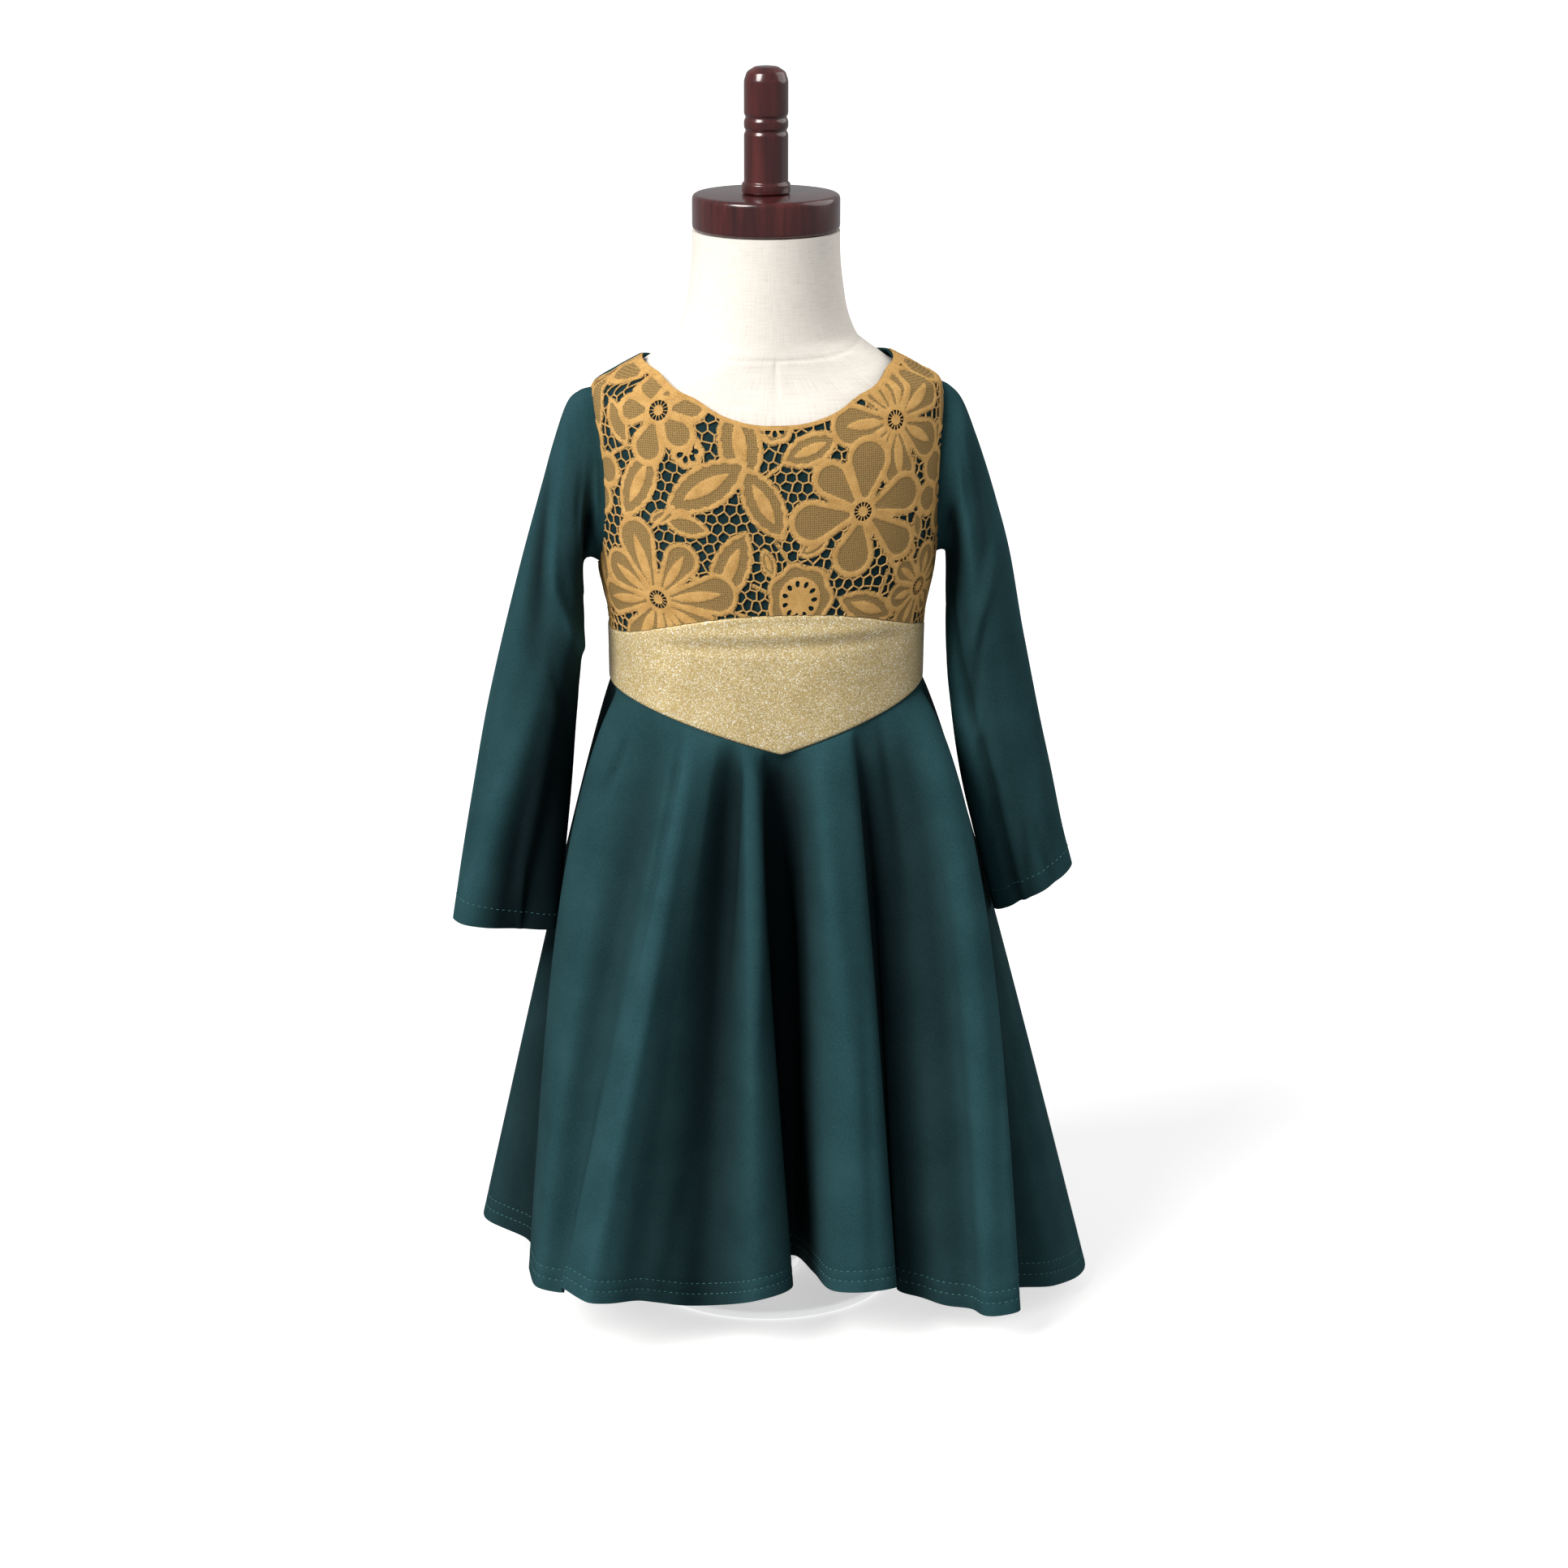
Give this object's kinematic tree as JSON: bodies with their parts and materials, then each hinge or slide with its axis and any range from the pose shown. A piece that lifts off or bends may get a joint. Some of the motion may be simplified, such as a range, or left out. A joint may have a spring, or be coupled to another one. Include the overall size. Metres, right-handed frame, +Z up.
{
  "type": "princess dress on a dress form",
  "caption": "Child's long-sleeved princess dress with a lace bodice, glitter V waistband and flared skirt, worn on a limbless linen dress form on a short stand.",
  "frame": {"origin": "middle of the stand's underside, on the surface that it stands on", "axes": "+Z up, the dress front faces -Y, +X is the wearer's left"},
  "size_m": [0.4254, 0.3205, 0.822],
  "materials": {
    "knit": "matt teal-green jersey knit",
    "lace": "mustard guipure-style lace with khaki net",
    "glitter_cloth": "gold glitter knit",
    "linen": "off-white plain-woven linen",
    "mahogany": "turned, dark red-brown gloss lacquer",
    "painted_steel": "white powder coat"
  },
  "bodies": {
    "root": {"base_plate": "painted_steel", "post": "painted_steel", "form_body": "linen", "neck_cap": "mahogany", "finial": "mahogany", "bodice_front": "knit", "bodice_back": "knit", "lace_front": "lace", "sleeve_left": "knit", "sleeve_right": "knit", "waistband_front": "glitter_cloth", "waistband_back": "glitter_cloth", "skirt_front": "knit", "skirt_back": "knit"}
  },
  "joints": []
}
